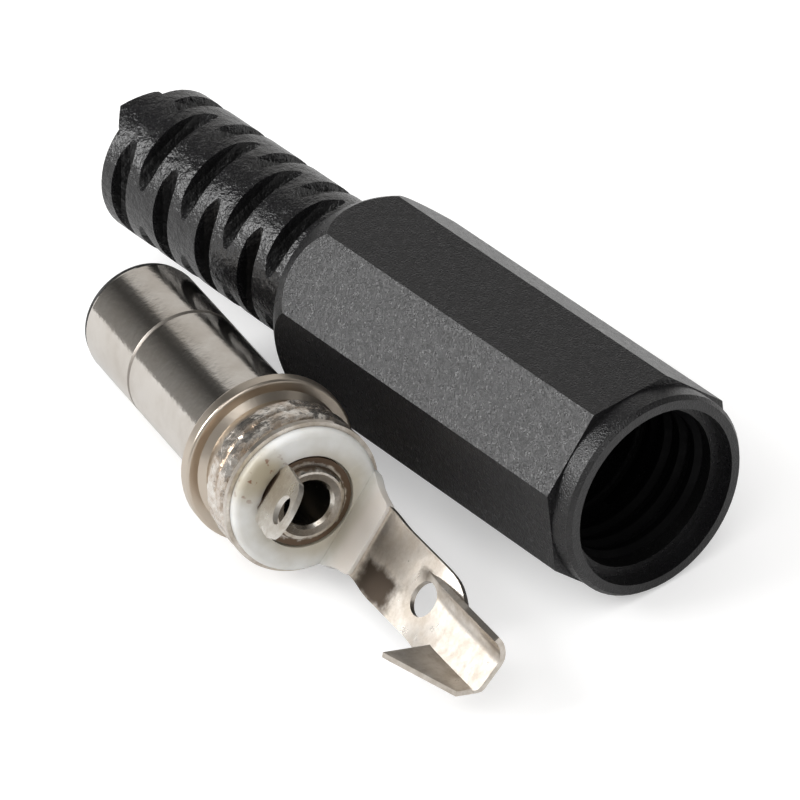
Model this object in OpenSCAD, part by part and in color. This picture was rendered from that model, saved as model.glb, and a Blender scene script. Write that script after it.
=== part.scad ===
// DC power plug of 5.5 mm by 2.1 mm, for soldering to a cable.
// The plug body lies on its side next to its unscrewed cover. The cover lies along X with
// its mouth toward +X, and everything rests on the plane Z = 0.

/* [Contact barrel] */
// Outside diameter of the contact barrel
barrel_d = 5.5; // [5:0.1:6]
// Length of the barrel in front of the flange
barrel_len = 13.2; // [9:0.1:15]
// Wall of the barrel tube
barrel_wall = 0.35; // [0.3:0.05:0.45]
// Rounding of the barrel's open edge
tip_round = 0.25; // [0.1:0.05:0.25]
// Distance of the rolled crease from the open edge
crease_at = 4.9; // [3:0.1:7]
// Depth of the rolled crease
crease_depth = 0.05; // [0.02:0.01:0.08]

/* [Flange and collar] */
// Diameter of the flange that closes the cover's mouth
flange_d = 7.7; // [7.4:0.1:7.9]
// Thickness of the flange
flange_t = 0.7; // [0.5:0.05:1]
// Diameter of the neck behind the flange
neck_d = 6.1; // [5.8:0.1:6.4]
// Length of the neck
neck_len = 0.8; // [0.5:0.1:1.2]
// Diameter of the collar under its thread
collar_d = 6.5; // [6.4:0.1:6.8]
// Length of the collar
collar_len = 2.25; // [1.6:0.05:3]

/* [Centre contact] */
// Bore that takes the jack's centre pin
socket_d = 2.1; // [1.9:0.05:2.5]
// Wall of the centre contact tube
contact_wall = 0.22; // [0.18:0.01:0.26]
// Distance from the barrel's open edge to the tube's front end
contact_inset = 0.3; // [0.2:0.05:0.6]
// Width of the spring slot in the tube's front end
fork_w = 0.3; // [0.2:0.05:0.4]
// Length of the spring slot
fork_len = 5; // [3:0.5:7]
// Overhang of the rolled rear rim of the tube
eyelet_roll = 0.42; // [0.3:0.02:0.46]
// Height of the rolled rim
eyelet_h = 0.3; // [0.2:0.05:0.35]

/* [Front bush] */
// Length of the bush inside the barrel
bush_len = 7; // [5:0.5:8]
// Stand-out of the bush's lip from the barrel's edge
lip_h = 0.25; // [0.15:0.05:0.4]
// Ledge of the barrel's edge left bare around the lip
lip_ledge = 0.2; // [0.1:0.05:0.28]

/* [Rear insulator] */
// Diameter of the disc behind the collar
disc_d = 6.6; // [6.4:0.1:6.8]
// Thickness of the disc
disc_t = 0.5; // [0.4:0.05:0.8]
// Rounding of the disc's rear edge
disc_round = 0.25; // [0.1:0.05:0.3]
// Diameter of the recess that holds the centre lug
recess_d = 4.3; // [4.2:0.05:4.4]
// Depth of the recess
recess_depth = 0.3; // [0.25:0.05:0.35]
// Length of the stem inside the barrel
stem_len = 4.5; // [3:0.5:5.5]
// Length of the tongue behind the disc
tongue_len = 2.15; // [1:0.05:3]
// Thickness of the tongue
tongue_t = 0.4; // [0.3:0.05:0.4]

/* [Sleeve lug] */
// Thickness of the lug's sheet
lug_t = 0.25; // [0.2:0.05:0.4]
// Distance of the strip's inner face from the plug's axis
lug_off = 2.6; // [2.6:0.05:2.7]
// Width of the strip
strip_w = 3.4; // [3:0.1:3.6]
// Outside diameter of the lug's seat ring
ring_d = 7; // [6.8:0.1:7.1]
// Outward set of the strip, in degrees
strip_set = 5.8; // [0:0.2:8]
// Length of flat strip behind the tongue
strip_len = 5.85; // [4.5:0.05:8]
// Distance of the wire hole from the tongue's end
wire_hole_at = 4.8; // [2:0.1:4.8]
// Diameter of the wire hole
wire_hole_d = 1.5; // [1:0.1:1.8]
// Length over which the upper ear rises from the strip's edge
ear_lead = 1.1; // [0.3:0.1:1.2]
// Length of the crimp trough
crimp_len = 4.7; // [3:0.1:6]
// Flat floor of the trough on the lower side of its middle
floor_low = 1; // [0.6:0.05:1.3]
// Flat floor of the trough on the upper side of its middle
floor_high = 0.35; // [0.2:0.05:1]
// Inside bend radius of the lower ear
bend_low = 0.4; // [0.3:0.05:0.6]
// Inside bend radius of the upper ear
bend_high = 1.2; // [0.3:0.05:1.3]
// Straight length of the lower ear beyond its bend
ear_low_len = 1.85; // [1:0.05:2.2]
// Bend angle of the lower ear, in degrees
ear_low = 42; // [30:1:80]
// Straight length of the upper ear beyond its bend
ear_high_len = 0.65; // [0.4:0.05:1.6]
// Bend angle of the upper ear, in degrees
ear_high = 78; // [40:1:85]

/* [Centre lug] */
// Thickness of the centre lug's sheet
leaf_t = 0.25; // [0.2:0.01:0.28]
// Width of the leaf
leaf_w = 2.6; // [2:0.1:2.7]
// Radius to which the leaf is curved across its width
leaf_curve = 2.7; // [2.4:0.1:5]
// Turn of the leaf about the plug's axis, away from the strip's far side, in degrees
leaf_turn = 14; // [0:1:30]
// Height of the leaf above its washer
leaf_h = 2.1; // [1.6:0.1:3]
// Inward lean of the leaf at its free end
leaf_lean = 0.45; // [0.1:0.05:0.6]
// Diameter of the hole in the leaf
leaf_hole_d = 1.2; // [0.6:0.1:1.3]

/* [Cover body] */
// Width of the cover across its flats
cover_af = 9.38; // [9.2:0.01:9.6]
// Length of the eight flats between the mouth step and the shoulder
flat_len = 18.2; // [14:0.1:24]
// Radius of the domed shoulder beyond that of the eight corners
dome_extra = 0.3; // [0.2:0.01:0.8]
// Length of the round collar at the mouth
mouth_len = 1.15; // [0.8:0.05:2]
// Step from the flats down to the round collar
mouth_step = 0.05; // [0.03:0.01:0.1]
// Rounding of the mouth's outer edge
mouth_round = 0.2; // [0.1:0.05:0.3]
// Clearance between the flange and the cover's mouth
mouth_clear = 0.22; // [0.1:0.02:0.25]
// Depth of the mouth recess beyond the flange's thickness
mouth_spare = 0.2; // [0.1:0.05:0.4]
// Bore of the cover's thread before its ridges
thread_bore_d = 7.3; // [7.2:0.05:7.4]
// Length of the threaded bore
thread_len = 4.6; // [3:0.1:6]
// Diameter of the hollow behind the thread
hollow_d = 6.9; // [6.4:0.1:7]

/* [Strain relief] */
// Outside diameter of the strain relief
relief_d = 6.8; // [6.6:0.02:7]
// Length of the strain relief behind the shoulder
relief_len = 12.9; // [12.9:0.1:15]
// Bore for the cable
cable_d = 4.1; // [3.4:0.1:4.2]
// Core left under the slots
core_wall = 0.37; // [0.3:0.01:0.45]
// Number of slot rows
slot_rows = 8; // [2:1:8]
// Slots in each row
slots_per_row = 3; // [2:1:3]
// Distance between slot rows
slot_pitch = 1.53; // [1.4:0.01:1.53]
// Width of a slot at the surface
slot_w = 1.08; // [0.8:0.02:1.1]
// Width of a slot at its floor
slot_floor_w = 0.46; // [0.3:0.02:0.6]
// Height of the gate stub on the end face
gate_h = 0.8; // [0.3:0.05:1.2]
// Width of the gate stub along the rim
gate_w = 2.5; // [1.6:0.1:3]

/* [Layout] */
// Gap between the flange and the flat side of the cover
lay_gap = 0.75; // [0.3:0.05:3]
// Position of the flange along the cover
flange_x = -4.8; // [-8:0.1:4]
// Turn of the plug body away from the cover's direction, in degrees
lay_turn = 12.9; // [5:0.1:20]
// Roll of the plug body about its own axis, in degrees
lay_roll = 49; // [0:1:90]

/* [Hidden] */
$fn = 64;

// Plug body, along its own axis from the open edge at zero.
barrel_r = barrel_d / 2;
bore_r = barrel_r - barrel_wall;
edge_round = min(tip_round, barrel_wall * 0.8);
flange_z = barrel_len;
neck_z = flange_z + flange_t;
collar_z = neck_z + neck_len;
ring_z = collar_z + collar_len;
disc_z = ring_z + lug_t;
face_z = disc_z + disc_t;
tongue_z = face_z + tongue_len;
washer_z = face_z - recess_depth;
washer_top = washer_z + leaf_t;
contact_r = socket_d / 2 + contact_wall;
washer_r = recess_d / 2 - 0.1;
rim_round = 0.12;
bush_clear = 0.01;

// Cover, with its middle flat centred on the origin.
apothem = cover_af / 2;
corner_r = apothem / cos(22.5);
step_x = flat_len / 2;
mouth_x = step_x + mouth_len;
mouth_r = apothem - mouth_step;
shoulder_x = -flat_len / 2;
relief_r = relief_d / 2;
shoulder_r = corner_r + dome_extra;
dome_x = shoulder_x + sqrt(shoulder_r * shoulder_r - corner_r * corner_r);
relief_x = dome_x - sqrt(shoulder_r * shoulder_r - relief_r * relief_r);
end_x = relief_x - relief_len;
recess_x = mouth_x - flange_t - mouth_spare;
recess_r = flange_d / 2 + mouth_clear;
thread_x = recess_x - thread_len;
cable_r = cable_d / 2;
hollow_x = shoulder_x + 0.6;
slot_base = cable_r + core_wall;
first_slot_x = relief_x - 0.83;
gate_angle = 112.5;

// Plug body lying on the rounded edges of its barrel and flange.
reach = barrel_len + rim_round - edge_round;
rise = (flange_d / 2 - rim_round) - (barrel_r - edge_round);
lift = rim_round - edge_round;
lay_pitch = atan2(rise, reach) + asin(lift / sqrt(reach * reach + rise * rise));
lay_y = -(apothem + lay_gap + flange_d / 2);
lay_z = (flange_d / 2 - rim_round) * cos(lay_pitch) + rim_round
        - rim_round * sin(lay_pitch);

// Moves the plug body from its own axis to where it lies beside the cover.
module laid() {
    translate([flange_x, lay_y, lay_z])
        rotate([0, 0, -lay_turn])
            rotate([0, -lay_pitch, 0])
                rotate([0, 90, 0])
                    rotate([0, 0, lay_roll])
                        translate([0, 0, -barrel_len])
                            children();
}

// Lays a solid that stands on Z along X, with its top toward +X, at the cover's height.
module along_cover(x0) {
    translate([x0, 0, apothem])
        rotate([0, 90, 0])
            children();
}

// Quarter-round profile points about a centre, from one angle to another.
function arc_points(cx, cy, r, a0, a1, n) =
    [for (i = [0:n]) [cx + r * cos(a0 + (a1 - a0) * i / n), cy + r * sin(a0 + (a1 - a0) * i / n)]];

// Turned sleeve: barrel, flange, neck and collar in one piece, bored through.
module barrel_shell() {
    color([0.74, 0.71, 0.66])
        laid()
            rotate_extrude()
                polygon(concat(
                    [[bore_r, 0]],
                    arc_points(barrel_r - edge_round, edge_round, edge_round, -90, 0, 5),
                    [[barrel_r, crease_at - 0.12],
                     [barrel_r - crease_depth, crease_at],
                     [barrel_r, crease_at + 0.12],
                     [barrel_r, flange_z]],
                    arc_points(flange_d / 2 - rim_round, flange_z + rim_round, rim_round, -90, 0, 3),
                    arc_points(flange_d / 2 - rim_round, neck_z - rim_round, rim_round, 0, 90, 3),
                    [[neck_d / 2 + 0.3, neck_z],
                     [neck_d / 2, neck_z + 0.25],
                     [neck_d / 2, collar_z],
                     [collar_d / 2, collar_z],
                     [collar_d / 2, ring_z],
                     [bore_r, ring_z]]));
}

// Black bush pressed into the open end, with a lip over the barrel's edge.
module front_insulator() {
    lip_r = barrel_r - lip_ledge;
    color([0.07, 0.07, 0.08])
        laid()
            rotate_extrude()
                polygon([
                    [contact_r + bush_clear, bush_len],
                    [contact_r + bush_clear, contact_inset],
                    [socket_d / 2 + 0.05, contact_inset],
                    [socket_d / 2 + 0.05, 0.1],
                    [socket_d / 2 + 0.35, -lip_h],
                    [lip_r - 0.1, -lip_h],
                    [lip_r, -lip_h + 0.1],
                    [lip_r, 0],
                    [bore_r, 0],
                    [bore_r, bush_len]]);
}

// Centre contact: a tube forked at the front and rolled over the centre lug at the rear.
module centre_contact() {
    color([0.78, 0.74, 0.66])
        laid()
            difference() {
                rotate_extrude()
                    polygon(concat(
                        [[socket_d / 2, contact_inset],
                         [contact_r, contact_inset],
                         [contact_r, washer_top]],
                        [[contact_r + eyelet_roll, washer_top]],
                        arc_points(contact_r + eyelet_roll * 0.45, washer_top + eyelet_h * 0.35,
                                   eyelet_roll * 0.6, 0, 90, 4),
                        [[socket_d / 2 + 0.12, washer_top + eyelet_h],
                         [socket_d / 2, washer_top + eyelet_h - 0.15]]));
                translate([-barrel_r, -fork_w / 2, contact_inset - 1])
                    cube([barrel_d, fork_w, fork_len + 1]);
            }
}

// Centre lug: a washer under the rolled rim and a curved leaf with a wire hole.
module centre_lug() {
    knee_z = washer_top + eyelet_h + 0.05;
    top_z = washer_top + leaf_h;
    color([0.8, 0.77, 0.7])
        laid()
            rotate([0, 0, leaf_turn])
                union() {
                    translate([0, 0, washer_z])
                        difference() {
                            cylinder(h = leaf_t, r = washer_r);
                            translate([0, 0, -1])
                                cylinder(h = leaf_t + 2, r = contact_r + bush_clear);
                        }
                    difference() {
                        intersection() {
                            translate([leaf_curve - washer_r + 0.02, 0, 0])
                                rotate_extrude()
                                    polygon([
                                        [leaf_curve - leaf_t, washer_z],
                                        [leaf_curve, washer_z],
                                        [leaf_curve, knee_z],
                                        [leaf_curve - leaf_lean, top_z],
                                        [leaf_curve - leaf_t - leaf_lean, top_z],
                                        [leaf_curve - leaf_t, knee_z]]);
                            rotate([0, -90, 0])
                                linear_extrude(height = 4)
                                    polygon([[washer_z, -leaf_w * 0.5],
                                             [top_z - 0.65, -leaf_w * 0.5],
                                             [top_z - 0.25, -leaf_w * 0.43],
                                             [top_z - 0.05, -leaf_w * 0.3],
                                             [top_z, -leaf_w * 0.15],
                                             [top_z, leaf_w * 0.15],
                                             [top_z - 0.05, leaf_w * 0.3],
                                             [top_z - 0.25, leaf_w * 0.43],
                                             [top_z - 0.65, leaf_w * 0.5],
                                             [washer_z, leaf_w * 0.5]]);
                        }
                        translate([0, 0, top_z - 0.85])
                            rotate([0, -90, 0])
                                cylinder(h = 4, d = leaf_hole_d, $fn = 32);
                    }
                }
}

// White insulator: stem in the barrel, disc behind the seat ring, tongue under the strip.
module rear_insulator() {
    color([0.9, 0.9, 0.87])
        laid()
            difference() {
                union() {
                    intersection() {
                        rotate_extrude()
                            polygon(concat(
                                [[contact_r + bush_clear, disc_z - stem_len],
                                 [bore_r, disc_z - stem_len],
                                 [bore_r, disc_z],
                                 [disc_d / 2, disc_z]],
                                arc_points(disc_d / 2 - disc_round, face_z - disc_round,
                                           disc_round, 0, 90, 4),
                                [[contact_r + bush_clear, face_z]]));
                        translate([-disc_d, -disc_d, 0])
                            cube([disc_d + lug_off, 2 * disc_d, face_z + 1]);
                    }
                    translate([lug_off - tongue_t, -strip_w / 2, disc_z + 0.05])
                        cube([tongue_t, strip_w, tongue_z - disc_z - 0.05]);
                }
                translate([0, 0, washer_z])
                    cylinder(h = 10, d = recess_d);
            }
}

// Points of a bend in the sheet, from the floor's edge up to the start of the ear.
function bend_points(edge, r_centre, r, angle, side) =
    [for (i = [0:8]) [-r_centre + r * cos(angle * i / 8), side * (edge + r * sin(angle * i / 8))]];

// Cross-section of the crimp trough: flat floor with a bent ear on each side.
module crimp_section() {
    low_in = bend_points(floor_low, bend_low, bend_low, ear_low, -1);
    low_out = bend_points(floor_low, bend_low, bend_low + lug_t, ear_low, -1);
    high_in = bend_points(floor_high, bend_high, bend_high, ear_high, 1);
    high_out = bend_points(floor_high, bend_high, bend_high + lug_t, ear_high, 1);
    low_tip = [-ear_low_len * sin(ear_low), -ear_low_len * cos(ear_low)];
    high_tip = [-ear_high_len * sin(ear_high), ear_high_len * cos(ear_high)];
    polygon(concat(
        low_out,
        [low_out[8] + low_tip, low_in[8] + low_tip],
        [for (i = [0:8]) low_in[8 - i]],
        high_in,
        [high_in[8] + high_tip, high_out[8] + high_tip],
        [for (i = [0:8]) high_out[8 - i]]));
}

// Prism that slopes an ear's free edge: up over its lead, then down toward the trough's end.
module ear_cut(side, height) {
    translate([0, side > 0 ? 0.05 : -6, 0])
        rotate([-90, 0, 0])
            linear_extrude(height = 5.95)
                polygon([[0.1, ear_lead + 0.1],
                         [0, ear_lead],
                         [-height - 0.1, 0],
                         [-height * 0.34, -crimp_len * 0.84],
                         [0.1, -crimp_len - 0.1],
                         [-6, -crimp_len - 0.1],
                         [-6, ear_lead + 0.1]]);
}

// Flat strip, with its upper corner cut back where the upper ear rises.
module flat_strip() {
    difference() {
        translate([0, -strip_w / 2, -0.02])
            cube([lug_t, strip_w, strip_len + 0.02]);
        translate([-1, 0, strip_len])
            rotate([90, 0, 90])
                linear_extrude(height = lug_t + 2)
                    polygon([[floor_high + 0.2, 0.1],
                             [floor_high + 0.2, 0],
                             [strip_w / 2, -ear_lead],
                             [strip_w, -ear_lead],
                             [strip_w, 0.1]]);
    }
}

// Trough with its two ears sloped down to the rear and its end corners cut off.
module crimp_trough() {
    low_h = bend_low * (1 - cos(ear_low)) + ear_low_len * sin(ear_low);
    high_h = bend_high * (1 - cos(ear_high)) + ear_high_len * sin(ear_high);
    translate([0, 0, strip_len])
        difference() {
            translate([0, 0, -ear_lead])
                linear_extrude(height = crimp_len + ear_lead)
                    crimp_section();
            translate([-6, -8, -ear_lead - 1])
                cube([8, 8 + floor_high, ear_lead + 1]);
            ear_cut(-1, low_h);
            ear_cut(1, high_h);
            for (side = [-1, 1])
                translate([-6, 0, crimp_len])
                    rotate([90, 0, 90])
                        linear_extrude(height = 8)
                            polygon([[side * 0.75, 0.2],
                                     [side * 0.75, 0],
                                     [side * 4, -crimp_len * 0.55],
                                     [side * 4, 0.2]]);
        }
}

// Sleeve lug: seat ring, strip with its wire hole, and crimp trough, cut from one sheet.
module sleeve_lug() {
    color([0.72, 0.69, 0.63])
        laid()
            union() {
                translate([0, 0, ring_z])
                    difference() {
                        intersection() {
                            cylinder(h = lug_t, d = ring_d);
                            translate([-ring_d, -ring_d, -1])
                                cube([ring_d + lug_off + lug_t, 2 * ring_d, lug_t + 2]);
                        }
                        translate([0, 0, -1])
                            cylinder(h = lug_t + 2, r = bore_r);
                    }
                translate([lug_off, -strip_w / 2, ring_z])
                    cube([lug_t, strip_w, tongue_z - ring_z]);
                translate([lug_off, 0, tongue_z])
                    rotate([0, strip_set, 0])
                        difference() {
                            union() {
                                flat_strip();
                                crimp_trough();
                            }
                            translate([-1, 0, wire_hole_at])
                                rotate([0, 90, 0])
                                    cylinder(h = lug_t + 2, d = wire_hole_d, $fn = 48);
                            translate([-1, 0, wire_hole_at])
                                rotate([45, 0, 0])
                                    cube([lug_t + 2, wire_hole_d / 2, wire_hole_d / 2]);
                        }
            }
}

// One slot of the strain relief: a straight cut with a rounded floor, across the X axis.
module relief_slot() {
    top = relief_r + 0.6;
    deep = relief_r - slot_base;
    slope = (slot_w - slot_floor_w) / 2 / deep;
    rotate([90, 0, 0])
        translate([0, 0, -relief_d])
            linear_extrude(height = 2 * relief_d)
                polygon([[-slot_floor_w * 0.22, slot_base],
                         [slot_floor_w * 0.22, slot_base],
                         [slot_floor_w * 0.5, slot_base + deep * 0.15],
                         [slot_floor_w * 0.5 + slope * deep * 0.7, slot_base + deep * 0.5],
                         [slot_w / 2, relief_r],
                         [slot_w / 2 + slope * 0.6, top],
                         [-slot_w / 2 - slope * 0.6, top],
                         [-slot_w / 2, relief_r],
                         [-slot_floor_w * 0.5 - slope * deep * 0.7, slot_base + deep * 0.5],
                         [-slot_floor_w * 0.5, slot_base + deep * 0.15]]);
}

// All slots, in rows turned by half a step so that the webs run in a zigzag.
module relief_slots() {
    step = 360 / slots_per_row;
    for (row = [0:slot_rows - 1])
        for (i = [0:slots_per_row - 1])
            translate([first_slot_x - row * slot_pitch, 0, apothem])
                rotate([gate_angle - 90 + (i + (row % 2) / 2) * step, 0, 0])
                    relief_slot();
}

// Stub of the moulding gate on the end face, in line with the parting line.
module gate_stub() {
    root = 0.4;
    translate([end_x, 0, apothem])
        rotate([gate_angle - 90, 0, 0])
            intersection() {
                translate([0, 0, slot_base * 0.9])
                    linear_extrude(height = 3)
                        polygon([[root, -gate_w * 0.34],
                                 [0, -gate_w * 0.34],
                                 [-gate_h, 0],
                                 [-gate_h * 0.35, gate_w * 0.6],
                                 [-gate_h * 0.2, gate_w * 0.66],
                                 [root, gate_w * 0.66]]);
                translate([root, 0, 0])
                    rotate([0, -90, 0])
                        difference() {
                            cylinder(h = gate_h + root + 0.2, r = relief_r - 0.01);
                            translate([0, 0, -1])
                                cylinder(h = gate_h + root + 3, r = slot_base);
                        }
            }
}

// Moulded cover: eight-sided grip, round mouth, domed shoulder and slotted strain relief.
module cover() {
    color([0.09, 0.09, 0.1])
        difference() {
            union() {
                intersection() {
                    along_cover(relief_x)
                        rotate([0, 0, 22.5])
                            cylinder(h = step_x - relief_x, r = corner_r, $fn = 8);
                    union() {
                        translate([dome_x, 0, apothem])
                            sphere(r = shoulder_r);
                        along_cover(dome_x)
                            cylinder(h = flat_len, r = corner_r + 1);
                    }
                }
                along_cover(step_x - 1)
                    cylinder(h = mouth_len + 1 - mouth_round, r = mouth_r);
                along_cover(mouth_x - mouth_round)
                    cylinder(h = mouth_round, r1 = mouth_r, r2 = mouth_r - mouth_round * 0.8);
                along_cover(end_x + 0.1)
                    cylinder(h = shoulder_x - end_x - 0.1, r = relief_r);
                along_cover(end_x)
                    cylinder(h = 0.1, r1 = relief_r - 0.08, r2 = relief_r);
                gate_stub();
            }
            relief_slots();
            along_cover(recess_x)
                cylinder(h = mouth_len + 5, r = recess_r);
            along_cover(thread_x)
                cylinder(h = thread_len + 0.1, d = thread_bore_d);
            along_cover(hollow_x)
                cylinder(h = thread_x - hollow_x + 0.1, d = hollow_d);
            along_cover(relief_x + 0.4)
                cylinder(h = hollow_x - relief_x - 0.4, r1 = cable_r, r2 = hollow_d / 2);
            along_cover(end_x - gate_h - 1)
                cylinder(h = relief_x - end_x + gate_h + 2, r = cable_r);
        }
}

barrel_shell();
front_insulator();
centre_contact();
centre_lug();
rear_insulator();
sleeve_lug();
cover();
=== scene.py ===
import bmesh
import bpy
import math
import random
from mathutils import Matrix, Vector


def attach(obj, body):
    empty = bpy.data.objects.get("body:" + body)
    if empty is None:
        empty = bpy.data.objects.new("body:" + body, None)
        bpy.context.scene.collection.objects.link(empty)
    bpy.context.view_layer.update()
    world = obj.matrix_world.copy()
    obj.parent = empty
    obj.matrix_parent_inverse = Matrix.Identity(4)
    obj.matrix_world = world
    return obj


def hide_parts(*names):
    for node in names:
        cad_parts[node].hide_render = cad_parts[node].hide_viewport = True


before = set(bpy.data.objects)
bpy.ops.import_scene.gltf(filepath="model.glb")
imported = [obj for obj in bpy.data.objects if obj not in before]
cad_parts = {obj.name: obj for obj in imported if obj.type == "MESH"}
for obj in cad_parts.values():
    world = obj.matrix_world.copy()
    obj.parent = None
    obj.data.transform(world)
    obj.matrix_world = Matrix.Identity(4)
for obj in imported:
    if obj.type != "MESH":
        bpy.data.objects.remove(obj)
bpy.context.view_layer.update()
mm = 0.001


# The table and the view: a pale table top under both halves of the plug, seen from the
# front right and above with a long lens. The table is no part of the plug.
sight_azimuth, sight_elevation, sight_roll = -33.88, 36.23, math.radians(-6.59)
sight_point = Vector((-8.087, 0.12, 0)) * mm
sight_distance = 0.4
table_half = 3.0
table_grey = 0.72
table_lift = 0.42


def direction(azimuth, elevation):
    a, e = math.radians(azimuth), math.radians(elevation)
    return Vector((math.cos(e) * math.cos(a), math.cos(e) * math.sin(a), math.sin(e)))


away = direction(sight_azimuth, sight_elevation)
level_right = (-away).cross(Vector((0, 0, 1))).normalized()
level_up = level_right.cross(-away)
right = math.cos(sight_roll) * level_right + math.sin(sight_roll) * level_up
up = -math.sin(sight_roll) * level_right + math.cos(sight_roll) * level_up
camera_data = bpy.data.cameras.new("view")
camera_data.sensor_width = 36
camera_data.lens = 416.5
camera_data.clip_start = 0.01
camera_data.clip_end = 10
camera = bpy.data.objects.new("view", camera_data)
bpy.context.collection.objects.link(camera)
turn = Matrix((right, up, away)).transposed().to_4x4()
camera.matrix_world = Matrix.Translation(sight_point + away * sight_distance) @ turn
bpy.context.scene.camera = camera
bpy.context.scene.view_settings.view_transform = "Standard"


def new_material(name):
    material = bpy.data.materials.new(name)
    material.use_nodes = True
    material.node_tree.nodes.clear()
    return material, material.node_tree


def node(tree, kind, **settings):
    made = tree.nodes.new(kind)
    for key, value in settings.items():
        setattr(made, key, value)
    return made


def wire(tree, source, target):
    tree.links.new(source, target)


corners = [(-table_half, -table_half, 0), (table_half, -table_half, 0),
           (table_half, table_half, 0), (-table_half, table_half, 0)]
table_mesh = bpy.data.meshes.new("table_top")
table_mesh.from_pydata(corners, [], [(0, 1, 2, 3)])
table_top = bpy.data.objects.new("table_top", table_mesh)
bpy.context.collection.objects.link(table_top)
table_white, tree = new_material("table_white")
paint = node(tree, "ShaderNodeBsdfDiffuse")
paint.inputs["Color"].default_value = (table_grey, table_grey, table_grey, 1)
glow = node(tree, "ShaderNodeEmission")
glow.inputs["Color"].default_value = (1, 1, 1, 1)
glow.inputs["Strength"].default_value = table_lift
seen = node(tree, "ShaderNodeLightPath")
add = node(tree, "ShaderNodeAddShader")
pick = node(tree, "ShaderNodeMixShader")
out = node(tree, "ShaderNodeOutputMaterial")
wire(tree, paint.outputs[0], add.inputs[0])
wire(tree, glow.outputs[0], add.inputs[1])
wire(tree, seen.outputs["Is Camera Ray"], pick.inputs[0])
wire(tree, paint.outputs[0], pick.inputs[1])
wire(tree, add.outputs[0], pick.inputs[2])
wire(tree, pick.outputs[0], out.inputs["Surface"])
table_mesh.materials.append(table_white)


# The room: white to the eye and an even grey for soft light. Metal and gloss mirror a ring of
# pale walls with a dark doorway behind the plug, under a ceiling with a dark band round it.
# One softbox lights the plug from the left, and a larger, weaker one from the front.
def remap(tree, start=0, end=1, low=0, high=1, **settings):
    made = node(tree, "ShaderNodeMapRange", **settings)
    for socket, value in (("From Min", start), ("From Max", end),
                          ("To Min", low), ("To Max", high)):
        made.inputs[socket].default_value = value
    return made


def maths(tree, operation, *values):
    made = node(tree, "ShaderNodeMath", operation=operation)
    for place_in, value in enumerate(values, 1):
        made.inputs[place_in].default_value = value
    return made


def vector_maths(tree, operation, value=None):
    made = node(tree, "ShaderNodeVectorMath", operation=operation)
    if value is not None:
        made.inputs[1].default_value = value
    return made


def fill_ramp(made, stops, tint):
    elements = made.color_ramp.elements
    for position, grey in stops[1:-1]:
        elements.new(position)
    for stop, (position, grey) in zip(elements, stops):
        stop.position = position
        stop.color = (grey * tint[0], grey * tint[1], grey * tint[2], 1)


# Grey of the walls against the turn round the room, in degrees.
wall_greys = [(0, 0.05), (4, 0.06), (12, 0.13), (20, 0.24), (35, 0.40),
              (60, 0.45), (110, 0.35), (150, 0.30), (200, 0.36), (260, 0.30),
              (300, 0.45), (312, 0.60), (343, 0.62), (351, 0.10), (360, 0.05)]
# Share of that grey against the height above the horizon, in degrees.
ceiling_shares = [(0, 1.0), (29, 1.0), (37, 0.08), (50, 0.12), (66, 0.70), (90, 0.80)]
room = bpy.data.worlds.new("room")
bpy.context.scene.world = room
room.use_nodes = True
tree = room.node_tree
tree.nodes.clear()
white = node(tree, "ShaderNodeBackground")
white.inputs["Color"].default_value = (1, 1, 1, 1)
soft = node(tree, "ShaderNodeBackground")
soft.inputs["Color"].default_value = (1, 0.99, 0.98, 1)
soft.inputs["Strength"].default_value = 0.72
walls = node(tree, "ShaderNodeBackground")
facing = node(tree, "ShaderNodeTexCoord")
axes = node(tree, "ShaderNodeSeparateXYZ")
bearing = maths(tree, "ARCTAN2")
round_room = remap(tree, start=-math.pi, end=math.pi)
ring = node(tree, "ShaderNodeValToRGB")
fill_ramp(ring, [(turned / 360, grey) for turned, grey in wall_greys], (1, 0.985, 0.96))
ceiling = node(tree, "ShaderNodeValToRGB")
fill_ramp(ceiling, [(math.sin(math.radians(height)), share)
                    for height, share in ceiling_shares], (1, 1, 1))
overhead = vector_maths(tree, "MULTIPLY")
pick_walls = node(tree, "ShaderNodeMixShader")
pick = node(tree, "ShaderNodeMixShader")
seen = node(tree, "ShaderNodeLightPath")
out = node(tree, "ShaderNodeOutputWorld")
wire(tree, facing.outputs["Generated"], axes.inputs[0])
wire(tree, axes.outputs["Y"], bearing.inputs[0])
wire(tree, axes.outputs["X"], bearing.inputs[1])
wire(tree, bearing.outputs[0], round_room.inputs["Value"])
wire(tree, round_room.outputs["Result"], ring.inputs["Fac"])
wire(tree, axes.outputs["Z"], ceiling.inputs["Fac"])
wire(tree, ring.outputs["Color"], overhead.inputs[0])
wire(tree, ceiling.outputs["Color"], overhead.inputs[1])
wire(tree, overhead.outputs[0], walls.inputs["Color"])
wire(tree, seen.outputs["Is Glossy Ray"], pick_walls.inputs[0])
wire(tree, soft.outputs[0], pick_walls.inputs[1])
wire(tree, walls.outputs[0], pick_walls.inputs[2])
wire(tree, seen.outputs["Is Camera Ray"], pick.inputs[0])
wire(tree, pick_walls.outputs[0], pick.inputs[1])
wire(tree, white.outputs[0], pick.inputs[2])
wire(tree, pick.outputs[0], out.inputs["Surface"])


def softbox(name, azimuth, elevation, distance, width, height, radiance):
    data = bpy.data.lights.new(name, "AREA")
    data.shape = "RECTANGLE"
    data.size = width
    data.size_y = height
    data.energy = math.pi * width * height * radiance
    lamp = bpy.data.objects.new(name, data)
    way = direction(azimuth, elevation)
    lamp.location = way * distance
    lamp.rotation_euler = way.to_track_quat("Z", "Y").to_euler()
    bpy.context.collection.objects.link(lamp)


softbox("left_softbox", azimuth=233, elevation=35, distance=0.9,
        width=0.52, height=0.46, radiance=6.5)
softbox("front_softbox", azimuth=-40, elevation=60, distance=1.0,
        width=0.60, height=0.60, radiance=1.7)


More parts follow.
